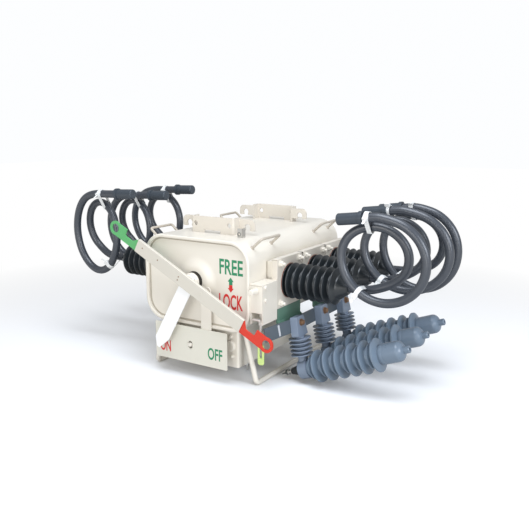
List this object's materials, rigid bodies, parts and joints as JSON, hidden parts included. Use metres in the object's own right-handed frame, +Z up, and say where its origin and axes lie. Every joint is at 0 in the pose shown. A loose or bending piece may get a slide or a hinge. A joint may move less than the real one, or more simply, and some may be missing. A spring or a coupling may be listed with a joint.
{
  "type": "gas load break switch",
  "caption": "Pole-mounted gas-insulated load break switch: rounded tank, turning front handle and pointer, ribbed bushings with coiled leads, tilted surge arresters and skid feet.",
  "frame": {"origin": "on the floor, under the middle of the tank", "axes": "+X across the tank towards the arresters, +Y from the front cover to the rear cover, +Z up"},
  "size_m": [1.644, 0.764, 0.6885],
  "materials": {
    "cabinet_paint": "satin cream enamel",
    "zinc_steel": "zinc plated",
    "white_paint": "gloss white paint",
    "red_paint": "gloss red paint",
    "green_paint": "gloss green paint",
    "cream_plastic": "moulded cream plastic",
    "lime_coating": "lime green dipped coating",
    "skid_paint": "light grey paint",
    "bar_paint": "dark blue grey paint",
    "arm_paint": "dark green paint",
    "grey_moulding": "moulded blue grey insulating resin",
    "black_rubber": "matte black boot",
    "bushing_rubber": "black silicone rubber",
    "lead_sheath": "satin black cable sheath",
    "cap_plastic": "moulded dark grey cap",
    "arrester_silicone": "blue grey silicone rubber sheds"
  },
  "bodies": {
    "switch": {"arrester_bar": "bar_paint", "arrester_boots": "black_rubber", "arrester_hangers": "grey_moulding", "arrester_studs": "zinc_steel", "bar_arms": "arm_paint", "earth_tab": "zinc_steel", "front_arrester": "arrester_silicone", "front_cover": "cabinet_paint", "front_hanger": "cabinet_paint", "indicator_plate": "cabinet_paint", "indicator_strap": "cabinet_paint", "left_bushing_box": "cabinet_paint", "left_flange_plates": "cabinet_paint", "left_front_bushing": "bushing_rubber", "left_front_lead": "lead_sheath", "left_front_lead_cap": "cap_plastic", "left_front_lifting_rod": "cabinet_paint", "left_middle_bushing": "bushing_rubber", "left_middle_lead": "lead_sheath", "left_middle_lead_cap": "cap_plastic", "left_rear_bushing": "bushing_rubber", "left_rear_lead": "lead_sheath", "left_rear_lead_cap": "cap_plastic", "left_rear_lifting_rod": "cabinet_paint", "left_skid": "skid_paint", "lock_box": "cabinet_paint", "lock_button": "cream_plastic", "mechanism_box": "cabinet_paint", "middle_arrester": "arrester_silicone", "rear_arrester": "arrester_silicone", "rear_cover": "cabinet_paint", "rear_hanger": "cabinet_paint", "right_bushing_box": "cabinet_paint", "right_flange_plates": "cabinet_paint", "right_front_bushing": "bushing_rubber", "right_front_lead": "lead_sheath", "right_front_lead_cap": "cap_plastic", "right_front_lifting_rod": "cabinet_paint", "right_middle_bushing": "bushing_rubber", "right_middle_lead": "lead_sheath", "right_middle_lead_cap": "cap_plastic", "right_rear_bushing": "bushing_rubber", "right_rear_lead": "lead_sheath", "right_rear_lead_cap": "cap_plastic", "right_rear_lifting_rod": "cabinet_paint", "right_skid": "skid_paint", "tank_shell": "cabinet_paint"},
    "handle": {"operating_shaft": "cabinet_paint", "handle_bar": "cabinet_paint", "handle_close_hook": "red_paint", "handle_open_hook": "green_paint", "position_pointer": "white_paint"},
    "lock": {"lock_rod": "zinc_steel", "lock_latch": "zinc_steel", "lock_pull_ring": "lime_coating"}
  },
  "joints": [
    {"name": "handle_turn", "type": "hinge", "parent": "switch", "child": "handle", "pos_m": [0, -0.4, 0.38], "axis": [0, -1, 0], "range_deg": [0, 55]},
    {"name": "lock_slide", "type": "slide", "parent": "switch", "child": "lock", "axis": [0, 0, -1], "range_m": [0, 0.03]}
  ]
}
